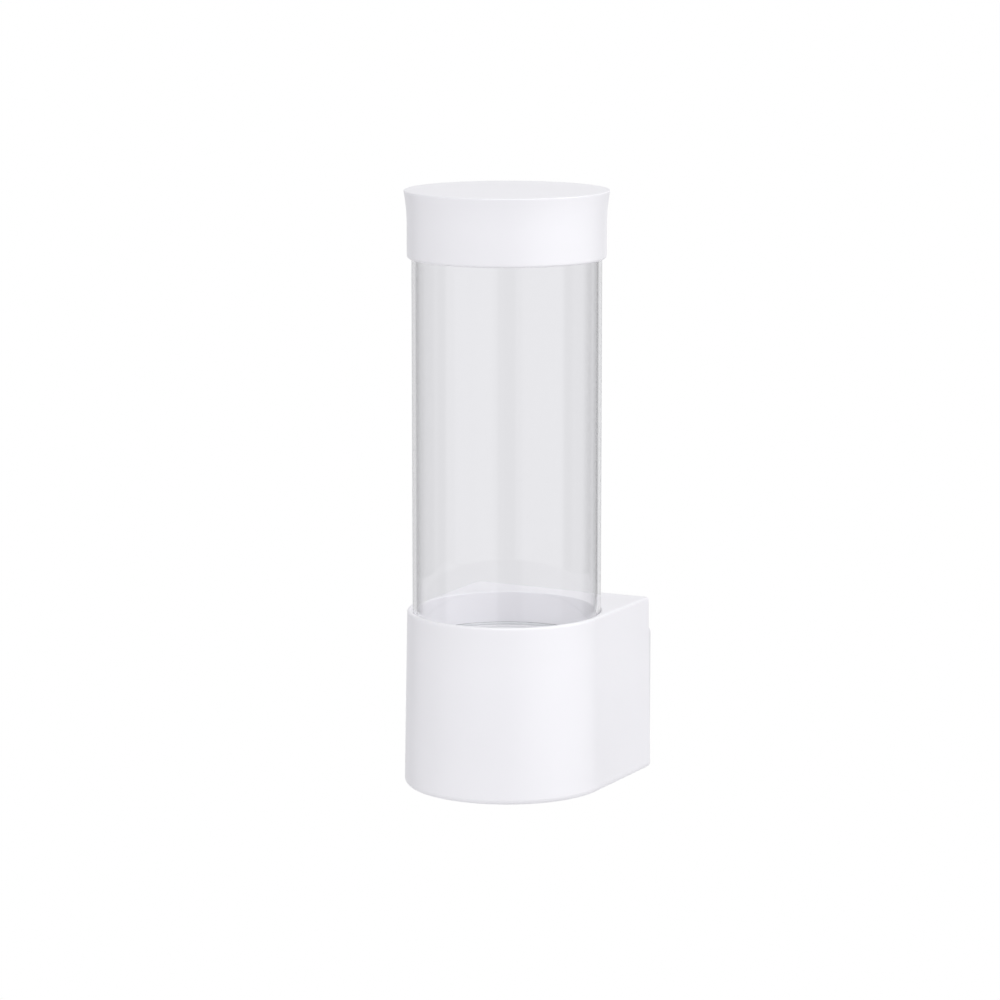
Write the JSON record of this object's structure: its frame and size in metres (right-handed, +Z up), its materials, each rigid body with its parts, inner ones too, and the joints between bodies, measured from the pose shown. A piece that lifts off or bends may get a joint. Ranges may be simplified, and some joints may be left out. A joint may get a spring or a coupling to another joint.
{
  "type": "wall-mounted tube dispenser",
  "caption": "Wall-mounted dispenser for paper cups: a clear tube with a flared lift-off lid stands in a D-shaped base with spring claws round its outlet.",
  "frame": {"origin": "on the wall's face, midway between the bracket's two screw holes", "axes": "+Y into the wall, +Z up along the tube, +X to the right seen from the front"},
  "size_m": [0.0916, 0.1033, 0.2664],
  "materials": {
    "white_shell": "satin moulded ABS",
    "clear_tube": "clear extruded acrylic",
    "inner_plastic": "matt moulded polypropylene",
    "claw_plastic": "matt acetal",
    "bracket_plastic": "matt moulded ABS",
    "soft_ring": "matt silicone",
    "foam": "closed-cell foam",
    "steel": "zinc-plated steel",
    "spring_steel": "bright spring wire"
  },
  "bodies": {
    "wall": {"wall_bracket": "bracket_plastic", "foam_strips": "foam"},
    "base": {"housing": "white_shell", "back_cover": "inner_plastic", "back_cover_screws": "steel", "claw_ring": "inner_plastic", "claw_ring_screws": "steel", "cup_guide": "inner_plastic", "tube_seat": "soft_ring", "claw_pin_1": "steel", "claw_pin_2": "steel", "claw_pin_3": "steel", "claw_pin_4": "steel", "claw_spring_1": "spring_steel", "claw_spring_2": "spring_steel", "claw_spring_3": "spring_steel", "claw_spring_4": "spring_steel"},
    "tube": {"tube": "clear_tube"},
    "lid": {"lid": "white_shell", "lid_seal": "soft_ring"},
    "claw_1": {"claw_1": "claw_plastic"},
    "claw_2": {"claw_2": "claw_plastic"},
    "claw_3": {"claw_3": "claw_plastic"},
    "claw_4": {"claw_4": "claw_plastic"}
  },
  "joints": [
    {"name": "base_lift", "type": "slide", "parent": "wall", "child": "base", "axis": [0, 0, 1], "range_m": [0, 0.0084]},
    {"name": "tube_lift", "type": "slide", "parent": "base", "child": "tube", "axis": [0, 0, 1], "range_m": [0, 0.016]},
    {"name": "lid_lift", "type": "slide", "parent": "tube", "child": "lid", "axis": [0, 0, 1], "range_m": [0, 0.03]},
    {"name": "claw_1_swing", "type": "hinge", "parent": "base", "child": "claw_1", "pos_m": [0.02821, -0.02929, -0.018], "axis": [0.7071, -0.7071, 0], "range_deg": [0, 14], "stiffness_Nm_per_rad": 0.02, "springref_deg": -17.19, "deforming": ["claw_spring_1"]},
    {"name": "claw_2_swing", "type": "hinge", "parent": "base", "child": "claw_2", "pos_m": [-0.02821, -0.02929, -0.018], "axis": [0.7071, 0.7071, 0], "range_deg": [0, 14], "stiffness_Nm_per_rad": 0.02, "springref_deg": -17.19, "deforming": ["claw_spring_2"]},
    {"name": "claw_3_swing", "type": "hinge", "parent": "base", "child": "claw_3", "pos_m": [-0.02821, -0.08571, -0.018], "axis": [-0.7071, 0.7071, 0], "range_deg": [0, 14], "stiffness_Nm_per_rad": 0.02, "springref_deg": -17.19, "deforming": ["claw_spring_3"]},
    {"name": "claw_4_swing", "type": "hinge", "parent": "base", "child": "claw_4", "pos_m": [0.02821, -0.08571, -0.018], "axis": [-0.7071, -0.7071, 0], "range_deg": [0, 14], "stiffness_Nm_per_rad": 0.02, "springref_deg": -17.19, "deforming": ["claw_spring_4"]}
  ]
}
